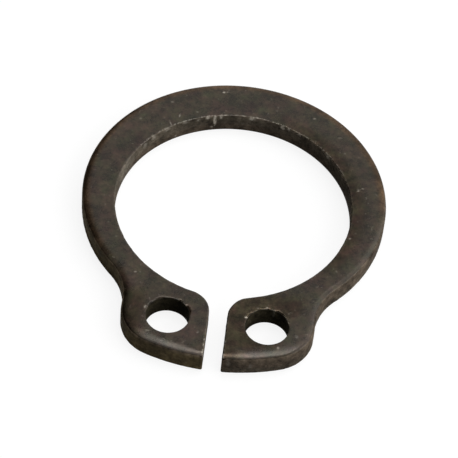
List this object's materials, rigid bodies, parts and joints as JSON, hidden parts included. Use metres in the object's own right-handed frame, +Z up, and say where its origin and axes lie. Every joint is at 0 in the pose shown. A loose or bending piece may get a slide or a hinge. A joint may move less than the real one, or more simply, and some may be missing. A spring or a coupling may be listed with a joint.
{
  "type": "external circlip",
  "caption": "Flat external snap ring with two plier lugs either side of a narrow gap, tapered rim, dark phosphate-coated spring steel.",
  "frame": {"origin": "centre of the bore, on the ring's lower face", "axes": "+Z up along the bore's axis, away from the surface that the ring lies on; -Y from the bore's centre to the gap between the lugs; +X to the right seen from above with the gap nearest"},
  "size_m": [0.0142, 0.0167, 0.001],
  "materials": {
    "phosphated_spring_steel": null
  },
  "bodies": {
    "root": {"circlip": "phosphated_spring_steel"}
  },
  "joints": []
}
